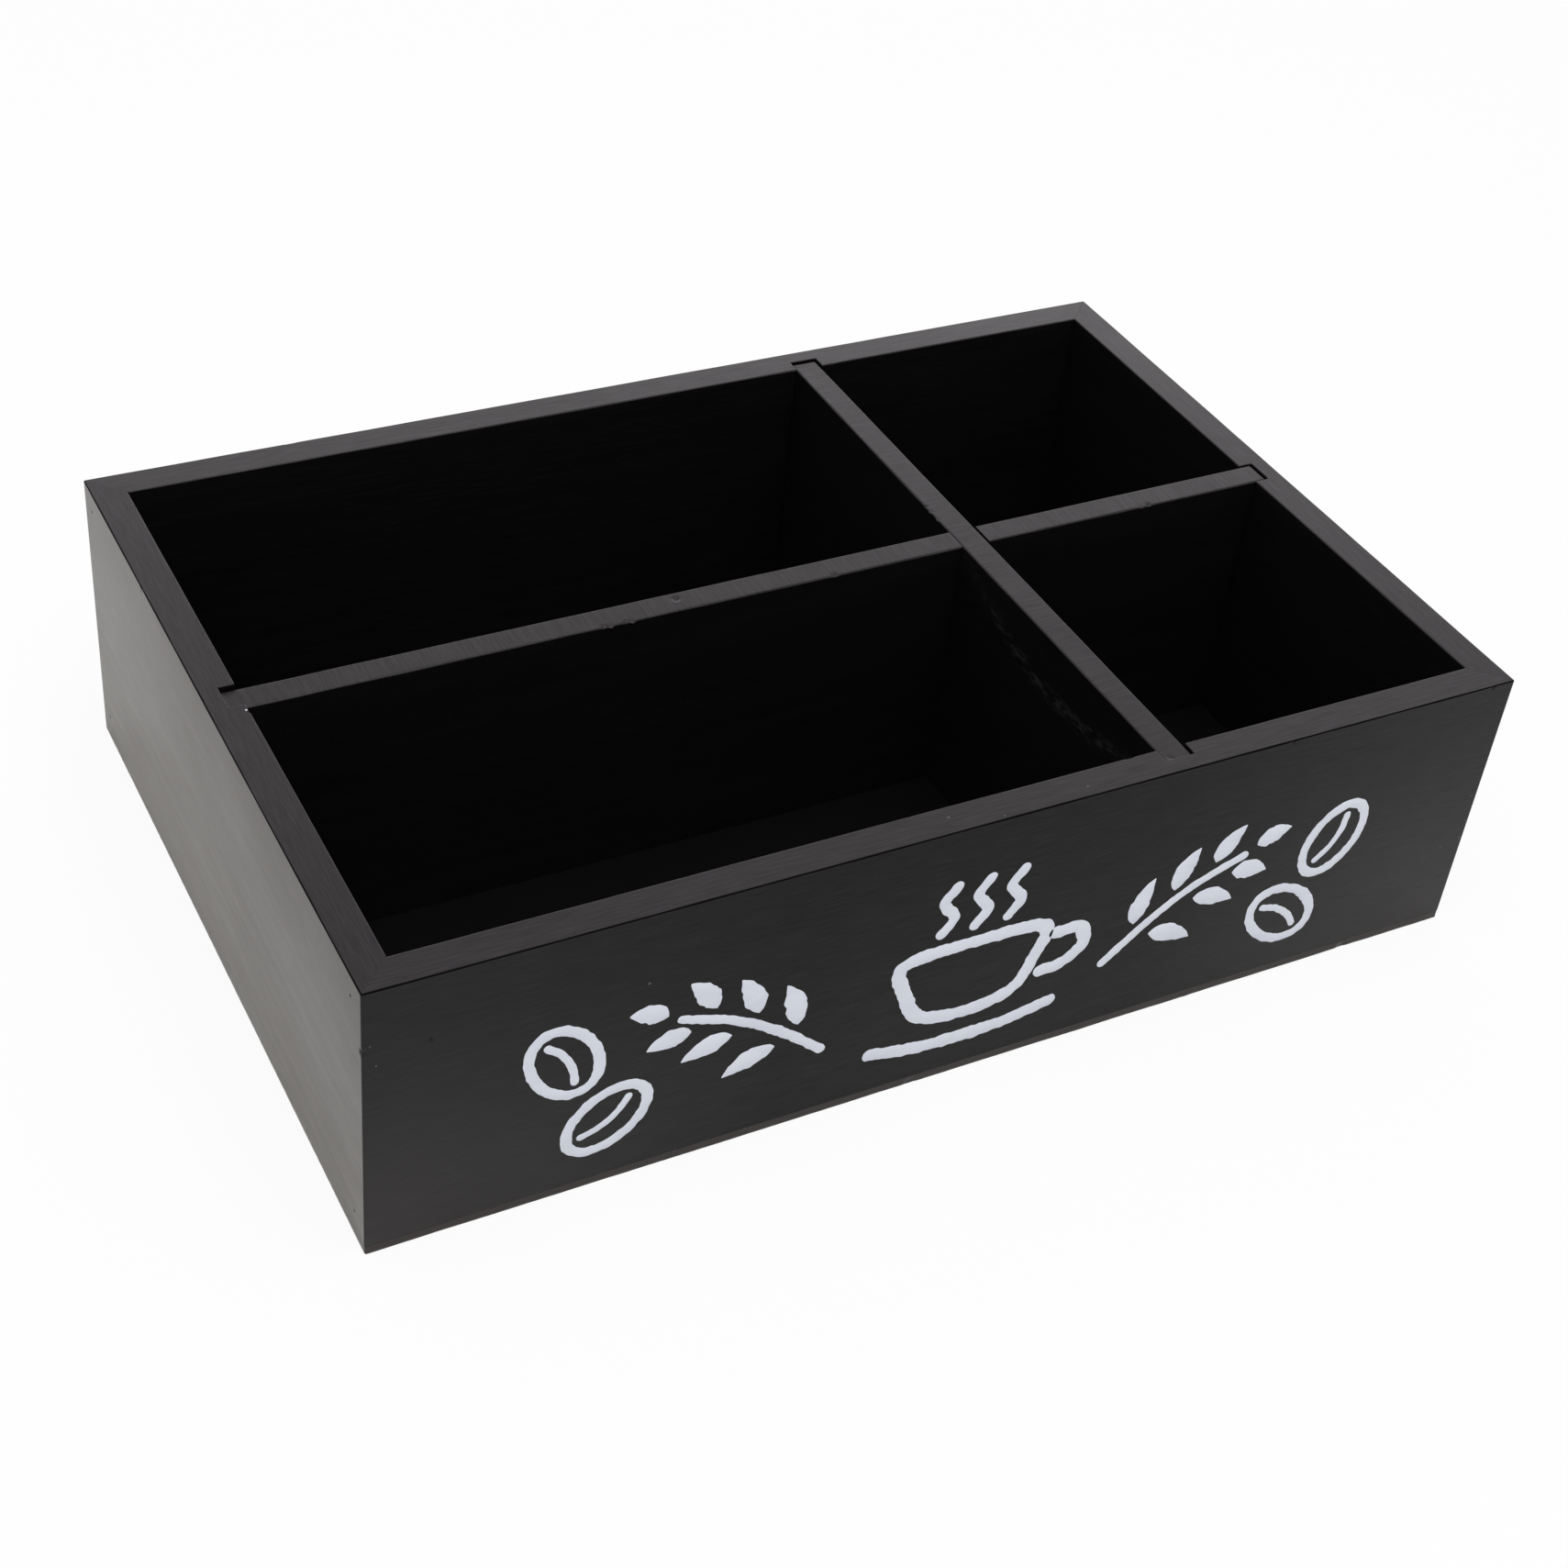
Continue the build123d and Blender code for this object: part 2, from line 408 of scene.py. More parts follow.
def black_paint(name, run, brush_run, pebbles, gloss, gloss_swing, reflection_tint_above=(1, 0.86, 0.97)):
    """Satin black paint over wood, with the wood's grain along one axis and the brush's lines
    along another, pebbles of some depth and a gloss that swings from line to line. Faces that
    look up get painted light: a lighter colour and a purple tint in their reflection. Along each
    arris runs a lighter line, partly paint worn thin and partly painted highlight."""
    deep = (0.0042, 0.0038, 0.0041)
    thin = (0.0090, 0.0081, 0.0086)
    painted_light_above = (0.0180, 0.0160, 0.0174)
    worn_and_highlit_arris = (0.024, 0.022, 0.023)
    bare_wood = (0.55, 0.50, 0.43)
    material, tree, shader = new_finish(name)

    lines = streaks(tree, brush_run, pitch=0.5 * mm, stretch=18, detail=2)
    patches = streaks(tree, brush_run, pitch=11 * mm, stretch=2, detail=2)
    grain = streaks(tree, run, pitch=3 * mm, stretch=20, detail=4)
    cloud = streaks(tree, run, pitch=30 * mm, stretch=2, detail=3)
    pebble = streaks(tree, run, pitch=0.7 * mm, stretch=1, detail=2)
    rubs = streaks(tree, run, pitch=0.8 * mm, stretch=14, detail=2)
    patchy = between(tree, patches, 0.4, 0.65, 0.1, 0.8)
    marks = multiplied(tree, between(tree, lines, 0.52, 0.7, 0, 1), patchy)
    colour = blended(tree, between(tree, grain, 0.35, 0.75, 0, 0.5), deep, thin)
    relief = raised(tree, cloud, 0.12 * mm)
    relief = raised(tree, grain, 0.03 * mm, relief)
    relief = raised(tree, marks, 0.005 * mm, relief)
    looks = {
        "IOR": 1.5,
        "Base Color": blended(tree, marks, colour, thin),
        "Specular IOR Level": between(
            tree, lines, 0.35, 0.65, gloss - gloss_swing, gloss + gloss_swing
        ),
        # Painted reflection: faces that look up reflect with a purple tint
        "Specular Tint": blended(tree, facing_up(tree), (1, 1, 1), reflection_tint_above),
        "Roughness": between(tree, cloud, 0.3, 0.7, 0.28, 0.35),
        "Normal": raised(tree, pebble, pebbles, relief),
    }
    fill(tree, shader, looks)

    # A lighter line along each arris: partly paint worn thin, partly painted highlight
    wear_and_light_share = multiplied(tree, attribute_of(tree, "arris_wear_and_light"), between(tree, rubs, 0.35, 0.65, 0.2, 1))
    laid_over(tree, wear_and_light_share, worn_and_highlit_arris)
    laid_over(tree, between(tree, attribute_of(tree, "chipped"), 0.45, 0.6, 0, 1), bare_wood)
    # Painted light: faces that look up get a lighter colour, in streaks along the brush lines
    painted_light_share = multiplied(tree, facing_up(tree), between(tree, lines, 0.35, 0.65, 0.55, 0.95))
    laid_over(tree, painted_light_share, painted_light_above)
    return material


board_pebbles = 0.005 * mm
satin_gloss = 0.205
long_side_gloss = 0.226
even_swing = 0.02
long_side_swing = 0.03
paint_left_to_right = black_paint(
    "black_paint_left_to_right", 0, 0, board_pebbles, long_side_gloss, long_side_swing
)
paint_front_to_back = black_paint(
    "black_paint_front_to_back", 1, 1, board_pebbles, satin_gloss, even_swing
)

# On the outer faces the colour is lighter and a little browner towards the ends and the foot,
# a painted reflection, and the gloss falls off towards the top. The outer arrises carry a thin
# dark line of painted shade, with little gloss
outer_skin = 0.6 * mm
reflection_from = 50 * mm
reflection_to = 140 * mm
reflection_full_below = 20 * mm
reflection_less_above = 70 * mm
brown_foot = 3 * mm
brown_top = 55 * mm
dull_foot = 5 * mm
dull_top = 72 * mm
most_reflection = 0.4
high_up_reflection = 0.6
high_up_brown = 0.2
lost_at_foot = 0.24
lost_at_top = 0.47
reflection_paint = (0.0385, 0.0365, 0.0370)
reflection_at_corners = (0.049, 0.0435, 0.0425)
painted_arris_shade = (0.003, 0.003, 0.003)


def outer_share(tree, axis, half):
    """1 in the skin of the outer faces across an axis, and 0 further in."""
    out = from_middle(tree, axis)
    return between(tree, out, half - outer_skin, half - outer_skin / 2, 0, 1)


def darken_outer_arrises(tree, outside):
    """Along the outer arrises a thin dark line of painted shade, with little gloss."""
    full_from = 0.5
    gloss_left = 0.15
    arris_shade = between(tree, attribute_of(tree, "arris_wear_and_light"), 0, full_from, 0, 1)
    arris_shade = multiplied(tree, outside, arris_shade)
    laid_over(tree, arris_shade, painted_arris_shade)
    scaled(tree, "Specular IOR Level", between(tree, arris_shade, 0, 1, 1, gloss_left))


board_tree = paint_left_to_right.node_tree
up_the_board = place_along(board_tree, 2)
outside = outer_share(board_tree, 1, half_width)
by_the_ends = from_middle(board_tree, 0)
by_the_ends = between(board_tree, by_the_ends, reflection_from, reflection_to, 0, most_reflection)
less_above = between(
    board_tree, up_the_board, reflection_less_above, reflection_full_below, high_up_reflection, 1
)
by_the_ends = multiplied(board_tree, by_the_ends, less_above)
by_the_foot = between(board_tree, up_the_board, brown_top, brown_foot, high_up_brown, 1)
# Painted reflection: the outer face is lighter and a little browner towards its ends and foot
laid_over(board_tree, multiplied(board_tree, outside, by_the_ends), reflection_paint)
by_the_corners = multiplied(board_tree, by_the_ends, by_the_foot)
laid_over(board_tree, multiplied(board_tree, outside, by_the_corners), reflection_at_corners)
darken_outer_arrises(board_tree, outside)
lost_gloss = between(board_tree, up_the_board, dull_foot, dull_top, lost_at_foot, lost_at_top)
lost_gloss = multiplied(board_tree, outside, lost_gloss)
scaled(board_tree, "Specular IOR Level", between(board_tree, lost_gloss, 0, 1, 1, 0))

front_nicks = [
    mark((143, -100, 79), (0, 0.3, -0.35), 0.8),
    mark((82, -100, 79), (0, 0.25, -0.2), 0.7),
    mark((-149.7, -99.7, 62.4), (0.25, 0.3, 0), 0.6),
    mark((-134.9, -100, 60.9), (0, 0.5, 0), 0.45),
    mark((41, -91.2, 79), (0, -0.12, -0.15), 0.9),
]
back_nicks = [
    mark((-60, -91.2, 79), (0, -0.15, -0.15), 0.8),
    mark((96, -100, 79), (0, 0.25, -0.2), 0.9),
]
for node, turn, slot_ends, mitres, nicks in (
    ("front_board", 0, (slot_left, slot_right), (tight_mitre, open_mitre), front_nicks),
    ("back_board", math.pi, (-slot_right, -slot_left), (open_mitre, tight_mitre), back_nicks),
):
    long_side = sanded_solid(
        node + "_painted",
        board_outline(half_length, half_width, *slot_ends, mitres),
        front_low.z,
        front_high.z,
        Matrix.Rotation(turn, 4, "Z"),
        nicks,
    )
    long_side.data.materials.append(paint_left_to_right)
    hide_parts(node)
    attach(long_side, "tray")

# Left and right boards: the short sides, mitred into the front and back boards and slotted for
# the long divider. Brads driven through them at the corners are set below the face, and the
# paint has sunk into a small pit over each.
pit_radius = 0.42 * mm
pit_depth = 0.3 * mm
pit_corners = 14
pit_overrun = 0.1 * mm
pit_raggedness = 0.25


def loose_boxes(node):
    """The lowest and highest corner of each separate solid in a node of the frame."""
    same_spot = 0.01 * mm
    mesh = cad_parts[node].data
    group = list(range(len(mesh.vertices)))

    def head(vertex):
        while group[vertex] != vertex:
            group[vertex] = group[group[vertex]]
            vertex = group[vertex]
        return vertex

    same_place = {}
    for vertex in mesh.vertices:
        key = tuple(round(number / same_spot) for number in vertex.co)
        group[head(vertex.index)] = head(same_place.setdefault(key, vertex.index))
    for edge in mesh.edges:
        group[head(edge.vertices[0])] = head(edge.vertices[1])
    corners = {}
    for vertex in mesh.vertices:
        corners.setdefault(head(vertex.index), []).append(vertex.co)
    return [
        (Vector(map(min, zip(*places))), Vector(map(max, zip(*places))))
        for places in corners.values()
    ]


def cut_out(piece, vertices, faces):
    """Take the closed shapes with these vertices and faces out of a piece. Its wide end faces
    are first parted into triangles, which the cut leaves as they are."""
    whole = bmesh.new()
    whole.from_mesh(piece.data)
    bmesh.ops.triangulate(whole, faces=[face for face in whole.faces if len(face.verts) > 4])
    whole.to_mesh(piece.data)
    whole.free()
    mesh = bpy.data.meshes.new("cutter")
    mesh.from_pydata(vertices, [], faces)
    cutter = put_in_scene("cutter", mesh)
    cut = piece.modifiers.new("cut", "BOOLEAN")
    cut.operation = "DIFFERENCE"
    cut.solver = "EXACT"
    cut.object = cutter
    bpy.context.view_layer.update()
    shaped = piece.evaluated_get(bpy.context.evaluated_depsgraph_get())
    result = bpy.data.meshes.new_from_object(shaped)
    piece.modifiers.clear()
    piece.data = result
    bpy.data.objects.remove(cutter)


def around(corners):
    """The cosine and sine of evenly spaced angles, once round."""
    angles = [2 * math.pi * corner / corners for corner in range(corners)]
    return [(math.cos(angle), math.sin(angle)) for angle in angles]


def cut_pits(piece, side):
    """Sink a small uneven pit over each brad's head in the left or right face."""
    rings = ((pit_depth, 0.5), (pit_depth / 2, 0.85), (-pit_overrun, 1.12))
    vertices = []
    faces = []
    for low, high in loose_boxes("corner_brads"):
        middle = (low + high) / 2
        if middle.x * side < 0:
            continue
        skin_over(faces, len(vertices), len(rings), pit_corners)
        for depth, share in rings:
            for back, up in around(pit_corners):
                outward = Vector((0, back, up))
                ragged = 1 + pit_raggedness * noise.noise(outward * 2 + middle * 100)
                spot = Vector((side * (half_length - depth), middle.y, middle.z))
                vertices.append(spot + outward * (pit_radius * share * ragged))
    cut_out(piece, vertices, faces if side > 0 else [corners[::-1] for corners in faces])


left_nicks = [
    mark((-50, -150, 79), (0, 0.12, -0.15), 1.0),
    mark((3.7, -141.3, 79), (0, -0.2, -0.5), 0.8, bare=1),
    mark((99.6, -150, 62.4), (-0.1, 0.45, 0), 0.6),
]
right_nicks = [mark((30, -141.2, 79), (0, -0.12, -0.15), 0.9)]
side_tree = paint_front_to_back.node_tree
# Painted shade: a thin dark line along the outer arrises of the left and right boards
darken_outer_arrises(side_tree, outer_share(side_tree, 0, half_length))

# Their outer faces carry a painted reflection, for the bright reflection they show at a low
# angle: a grey laid over in long soft streaks, heavier towards the foot, with a strong sheen.
side_reflection_colour = (0.080, 0.074, 0.068)
flat_face_skin = 0.02 * mm
side_reflection_foot = 5 * mm
side_reflection_top = 75 * mm
side_gloss_below = 45 * mm
side_gloss_above = 77 * mm
side_reflection_paint = black_paint(
    "painted_reflection_on_side_faces", 1, 1, board_pebbles, satin_gloss, even_swing
)
side_reflection_tree = side_reflection_paint.node_tree
side_reflection_shader = side_reflection_tree.nodes["Principled BSDF"]
side_reflection_shader.inputs["Sheen Weight"].default_value = 0.325
side_reflection_shader.inputs["Sheen Roughness"].default_value = 0.35
side_reflection_shader.inputs["Sheen Tint"].default_value = (1, 0.92, 0.85, 1)
up_the_side_face = place_along(side_reflection_tree, 2)
side_reflection = between(side_reflection_tree, up_the_side_face, side_reflection_top, side_reflection_foot, 0.15, 1)
for pitch, stretch, least in ((3 * mm, 14, 0.2), (0.9 * mm, 10, 0.5), (8 * mm, 3, 0.6)):
    side_reflection_streaks = streaks(side_reflection_tree, 1, pitch, stretch, detail=3)
    side_reflection = multiplied(side_reflection_tree, side_reflection, between(side_reflection_tree, side_reflection_streaks, 0.35, 0.65, least, 1))
# Painted reflection: a grey laid over the side faces, in streaks and heavier towards the foot
laid_over(side_reflection_tree, side_reflection, side_reflection_colour)
side_gloss = between(side_reflection_tree, up_the_side_face, side_gloss_above, side_gloss_below, 0.5, 1.15)
scaled(side_reflection_tree, "Specular IOR Level", side_gloss)


def give_side_reflection(piece, skin):
    """Give the painted reflection to what lies in the tray's left and right faces, within a thin
    skin.
    """
    piece.data.materials.append(side_reflection_paint)
    for polygon in piece.data.polygons:
        if abs(polygon.center.x) > half_length - skin:
            polygon.material_index = 1


for node, side, slot_ends, mitre, nicks in (
    ("left_board", -1, (-slot_back, -slot_front), tight_mitre, left_nicks),
    ("right_board", 1, (slot_front, slot_back), open_mitre, right_nicks),
):
    short_side = sanded_solid(
        node + "_painted",
        board_outline(half_width, half_length, *slot_ends, (mitre, mitre)),
        front_low.z,
        front_high.z,
        Matrix.Rotation(side * math.pi / 2, 4, "Z"),
        nicks,
    )
    cut_pits(short_side, side)
    short_side.data.materials.append(paint_front_to_back)
    give_side_reflection(short_side, flat_face_skin)
    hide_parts(node)
    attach(short_side, "tray")

# Bottom panel: a thin sheet stapled and glued under the four boards, flush with their outer
# faces. Its sawn edges are rough, and the paint on them is thin enough to look brown.
panel_arris = 0.25 * mm
panel_top_arris = 0.1 * mm
panel_roughness = 0.07 * mm
rough_edge_skin = 0.15 * mm
fine_saw_marks = 1.3 * mm
coarse_saw_marks = 5 * mm
crown_depth = 0.62 * mm
crown_clearance = 0.08 * mm
pocket_overrun = 0.5 * mm

panel_outline = []
for quarter in range(4):
    middle_x = (half_length - corner_radius) * (1 if quarter in (0, 3) else -1)
    middle_y = (half_width - corner_radius) * (1 if quarter in (0, 1) else -1)
    first = 90 * quarter
    panel_outline += bend(
        (middle_x, middle_y), corner_radius, first, first + 90, panel_arris, panel_top_arris
    )
panel_nicks = [
    mark((69, -100, 0.6), (0, -0.1, 0), 0.7),
    mark((-12, -100, 0.5), (0, 0.3, 0.2), 1.2),
    mark((118, -100, 0.4), (0, 0.3, 0.2), 1.0),
    mark((-77.1, -100, 1.6), (0, 0.1, 0), 0.5, bare=0.9),
    mark((-74.8, -100, 1.6), (0, 0.1, 0), 0.4, bare=0.8),
    mark((-56.6, -100, 1.6), (0, 0.1, 0), 0.5, bare=0.9),
    mark((-54.9, -100, 1.7), (0, 0.1, 0), 0.5, bare=0.8),
]
bottom_panel = sanded_solid(
    "bottom_panel_painted",
    panel_outline,
    panel_low.z,
    panel_high.z,
    Matrix.Identity(4),
    panel_nicks,
    coarse=0.8 * mm,
    wander=0.7,
)
for vertex in bottom_panel.data.vertices:
    outward = Vector((vertex.co.x / half_length, vertex.co.y / half_width, 0))
    fine = noise.noise(vertex.co / fine_saw_marks)
    coarse = noise.noise(vertex.co / coarse_saw_marks)
    vertex.co -= outward * panel_roughness * (1 + fine + coarse) / 2


def cut_pockets(piece):
    """Cut the pocket that each staple's crown lies in out of the underside."""
    box = ((3, 2, 1, 0), (4, 5, 6, 7), (0, 1, 5, 4), (1, 2, 6, 5), (2, 3, 7, 6), (3, 0, 4, 7))
    spread = Vector((crown_clearance, crown_clearance, 0))
    vertices = []
    faces = []
    for low, high in loose_boxes("bottom_staples"):
        start = len(vertices)
        one = low - spread
        two = high + spread
        for height in (-pocket_overrun, low.z + crown_depth):
            for x, y in ((one.x, one.y), (two.x, one.y), (two.x, two.y), (one.x, two.y)):
                vertices.append(Vector((x, y, height)))
        faces += [tuple(start + corner for corner in corners) for corners in box]
    cut_out(piece, vertices, faces)


cut_pockets(bottom_panel)
panel_pebbles = 0.008 * mm
# Painted reflection: a faint purple tint in what the panel's top reflects
panel_reflection_tint = (1, 0.96, 0.98)
panel_paint = black_paint(
    "thin_paint_on_panel", 0, 0, panel_pebbles, satin_gloss, even_swing, panel_reflection_tint
)
edge_brown = (0.040, 0.034, 0.031)
painted_shade_inside = (0.0034, 0.0032, 0.0033)
panel_tree = panel_paint.node_tree
for axis, half in ((0, half_length), (1, half_width)):
    laid_over(panel_tree, outer_share(panel_tree, axis, half), edge_brown)
# Painted shade: the panel's top, the floor of the compartments, is made near black
laid_over(panel_tree, facing_up(panel_tree), painted_shade_inside)
scaled(panel_tree, "Specular IOR Level", between(panel_tree, facing_up(panel_tree), 0, 1, 1, 0.5))
bottom_panel.data.materials.append(panel_paint)
# Painted reflection: the panel's left and right edges get the same painted reflection
give_side_reflection(bottom_panel, rough_edge_skin)
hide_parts("bottom_panel")
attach(bottom_panel, "tray")

# Long divider: a strip of 7 mm wood that slides down the slots of the left and right boards.
# It is notched half way down from its top edge, which falls a little towards the left, and
# the paint has dried in nibs along that edge.
divider_arris = 0.45 * mm
end_arris = 0.2 * mm
notch_arris = 0.12 * mm
lap_play = 0.25 * mm
long_fall = 1.1 * mm
divider_pebbles = 0.012 * mm
divider_swing = 0.028
lap_height = (short_low.z + short_high.z) / 2
long_run = long_high.x - long_low.x


def long_top(across):
    """Height of the long divider's top edge."""
    return long_high.z - long_fall * (long_high.x - across) / long_run


notch_floor = lap_height - lap_play
long_outline = [
    Side(long_low.x, long_low.z, foot_arris, foot_arris),
    Side(long_high.x, long_low.z, end_arris, end_arris),
    Side(long_high.x, long_high.z, divider_arris, divider_arris),
    Side(slot_right, long_top(slot_right), notch_arris, notch_arris),
    Side(slot_right, notch_floor, notch_arris, notch_arris),
    Side(slot_left, notch_floor, notch_arris, notch_arris),
    Side(slot_left, long_top(slot_left), divider_arris, divider_arris),
    Side(long_low.x, long_top(long_low.x), end_arris, end_arris),
]
# In the divider's own frame X is its run, Y is up and Z goes from its back face to its front
long_stand = Matrix(((1, 0, 0, 0), (0, 0, -1, 0), (0, 1, 0, 0), (0, 0, 0, 1)))
long_nibs = [
    mark((-52.0, 78.1, 1.3), (0.05, -0.4, -0.2), 0.7),
    mark((-50.4, 78.0, 1.3), (0.05, -0.1, 0.7), 0.8),
    mark((-46.2, 78.1, 1.3), (0, -0.4, -0.2), 0.6),
    mark((-44.6, 78.0, 1.3), (0, -0.1, 0.7), 0.8),
    mark((-30.8, 78.2, -3.4), (0, -0.45, 0), 0.7),
    mark((11.2, 78.3, 1.3), (0, -0.3, 0.2), 0.9),
    mark((104.0, 78.8, 1.3), (0, -0.1, 0.5), 0.8),
    mark((106.2, 78.8, 1.3), (0, -0.3, -0.2), 0.8),
]
long_divider = sanded_solid(
    "long_divider_painted",
    long_outline,
    -long_high.y,
    -long_low.y,
    long_stand,
    long_nibs,
)
# The tops of the dividers were brushed crosswise
long_paint = black_paint(
    "black_paint_on_long_divider", 0, 1, divider_pebbles, satin_gloss, divider_swing
)
long_divider.data.materials.append(long_paint)
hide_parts("long_divider")
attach(long_divider, "long_divider")

# Short divider: the same 7 mm strip, from front to back. It is notched from below, and laps
# down over the long divider where the two cross.
notch_roof = lap_height + lap_play
short_outline = [
    Side(short_low.y, short_low.z, foot_arris, foot_arris),
    Side(slot_front, short_low.z, notch_arris, notch_arris),
    Side(slot_front, notch_roof, notch_arris, notch_arris),
    Side(slot_back, notch_roof, notch_arris, notch_arris),
    Side(slot_back, short_low.z, foot_arris, foot_arris),
    Side(short_high.y, short_low.z, end_arris, end_arris),
    Side(short_high.y, short_high.z, divider_arris, divider_arris),
    Side(short_low.y, short_high.z, end_arris, end_arris),
]
# In its own frame X is its run to the back, Y is up and Z goes from its left face to its right
short_stand = Matrix(((0, 0, 1, 0), (1, 0, 0, 0), (0, 1, 0, 0), (0, 0, 0, 1)))
short_nibs = [
    mark((12.0, 78.4, 48.7), (0, -0.15, -0.4), 0.6),
    mark((15.8, 78.4, 48.7), (0, -0.1, -0.4), 0.7),
    mark((18.4, 78.4, 48.7), (0, -0.25, 0.1), 0.6),
    mark((-94.5, 78.4, 50.6), (0, -0.35, 0), 0.6),
]
short_divider = sanded_solid(
    "short_divider_painted",
    short_outline,
    short_low.x,
    short_high.x,
    short_stand,
    short_nibs,
)
scuffed_paint = black_paint(
    "black_paint_on_short_divider", 1, 0, divider_pebbles, satin_gloss, divider_swing
)
scuff_tree = scuffed_paint.node_tree

# Something was drawn along its left face and left scuffs on a shallow bow below the top edge.
# They fade out towards the front, and are fewer towards the crossing. The bow rises with the
# square of the distance from its middle.
scuff_colour = (0.033, 0.032, 0.032)
scuff_skin = (short_low.x + 0.7 * mm, short_low.x + 0.3 * mm)
scuff_grain = 1 * mm
scuffs_from = -88 * mm
scuffs_full = -70 * mm
scuffs_thin_from = -30 * mm
scuffs_thin_to = -4 * mm
bow_middle = -52 * mm
bow_lowest = 64 * mm
bow_rise = 5.4
bow_half_width = 3.2 * mm
bow_core = 0.4 * mm

scuff_run = place_along(scuff_tree, 1)
from_bow_middle = reckoned(scuff_tree, "SUBTRACT", scuff_run, bow_middle)
bow = multiplied(scuff_tree, from_bow_middle, from_bow_middle)
bow = between(scuff_tree, bow, 0, 1, bow_lowest, bow_lowest + bow_rise)
above_bow = reckoned(scuff_tree, "SUBTRACT", place_along(scuff_tree, 2), bow)
off_the_bow = reckoned(scuff_tree, "ABSOLUTE", above_bow)
scuff_grit = streaks(scuff_tree, 1, scuff_grain, stretch=3, detail=5)
scuffs = between(scuff_tree, scuff_grit, 0.45, 0.62, 0, 0.9)
for share in (
    between(scuff_tree, off_the_bow, bow_core, bow_half_width, 1, 0),
    between(scuff_tree, scuff_run, scuffs_from, scuffs_full, 0, 1),
    between(scuff_tree, scuff_run, scuffs_thin_to, scuffs_thin_from, 0.25, 1),
    between(scuff_tree, place_along(scuff_tree, 0), *scuff_skin, 0, 1),
):
    scuffs = multiplied(scuff_tree, scuffs, share)
laid_over(scuff_tree, scuffs, scuff_colour)
short_divider.data.materials.append(scuffed_paint)
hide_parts("short_divider")
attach(short_divider, "short_divider")

# Corner brads and bottom staples: galvanised wire. The brads are sealed in the corners, and
# the staples' crowns show on the underside, pressed just below the panel's face.
wire_bevel = 0.12 * mm


def galvanised_wire(name):
    """Dull zinc on drawn wire, with fine scratches along it and a few darker spots."""
    dark_zinc = (0.5, 0.5, 0.51)
    pale_zinc = (0.62, 0.62, 0.63)
    material, tree, shader = new_finish(name)
    spots = streaks(tree, 0, pitch=0.9 * mm, stretch=1, detail=4)
    scratches = streaks(tree, 0, pitch=0.12 * mm, stretch=12, detail=2)
    looks = {
        "Metallic": 1,
        "Base Color": blended(tree, between(tree, spots, 0.35, 0.7, 0, 1), dark_zinc, pale_zinc),
        "Roughness": between(tree, spots, 0.3, 0.7, 0.32, 0.5),
        "Normal": raised(tree, scratches, 0.01 * mm),
    }
    fill(tree, shader, looks)
    return material


wire = galvanised_wire("galvanised_wire")
for node in ("corner_brads", "bottom_staples"):
    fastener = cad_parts[node]
    fastener.data.materials.clear()
    fastener.data.materials.append(wire)
    rounded = fastener.modifiers.new("rounded", "BEVEL")
    rounded.width = wire_bevel
    rounded.segments = 3
    rounded.limit_method = "ANGLE"

# Painted motif: a cup on its saucer, steam, coffee beans and two sprigs, laid on the front
# face in thick white paint with a round brush. Each stroke is a thin skin of paint with a
# rounded edge, and its width wavers as a hand does.
paint_height = 0.09 * mm
paint_sunk = 0.04 * mm
paint_shoulder = 0.16 * mm
stroke_width = 3.9 * mm
steam_stroke = 3.0 * mm
bean_stroke = 2.8 * mm
stem_stroke = 2.6 * mm
crease_stroke = 2.0 * mm
stroke_step = 0.5 * mm
slow_waver = 9 * mm
quick_waver = 2.2 * mm
ragged_length = 1.4 * mm
slow_share = 0.12
quick_share = 0.07
ragged_share = 0.2


def curve_through(places, closed):
    """A smooth line through given places, as points a stroke step apart."""
    places = [Vector(place) * mm for place in places]
    count = len(places)
    spans = count if closed else count - 1
    line = []
    for span in range(spans):
        one = places[span]
        two = places[(span + 1) % count]
        before = places[span - 1] if closed or span > 0 else one * 2 - two
        last = closed or span < spans - 1
        after = places[(span + 2) % count] if last else two * 2 - one
        steps = max(2, round((two - one).length / stroke_step))
        for step in range(steps):
            t = step / steps
            bent = (
                one * 2
                + (two - before) * t
                + (before * 2 - one * 5 + two * 4 - after) * t**2
                + (one * 3 - before - two * 3 + after) * t**3
            )
            line.append(bent / 2)
    if not closed:
        line.append(places[-1])
    return line


class Skin:
    """The vertices and faces of the motif's paint, filled stroke by stroke."""

    def __init__(self):
        self.vertices = []
        self.faces = []

    def stroke(self, line, half_widths, closed=False):
        """Add one stroke with a half width for each point of its line."""
        count = len(line)
        start = len(self.vertices)
        for index, (place, half) in enumerate(zip(line, half_widths)):
            before = line[index - 1] if closed or index > 0 else place
            after = line[(index + 1) % count] if closed or index < count - 1 else place
            ahead = (after - before).normalized()
            sideways = Vector((-ahead.y, ahead.x))
            for side in (1, -1):
                spot = Vector((place.x, place.y, side)) / ragged_length
                edge = half * (1 + ragged_share * noise.noise(spot))
                shoulder = max(edge - paint_shoulder, edge / 3)
                profile = [
                    (edge, -paint_sunk),
                    (edge, paint_height / 4),
                    (shoulder, paint_height),
                ]
                for offset, height in profile if side > 0 else profile[::-1]:
                    spot = place + sideways * (side * offset)
                    self.vertices.append(Vector((spot.x, -half_width - height, spot.y)))
        skin_over(self.faces, start, count, 2 * len(profile), closed)


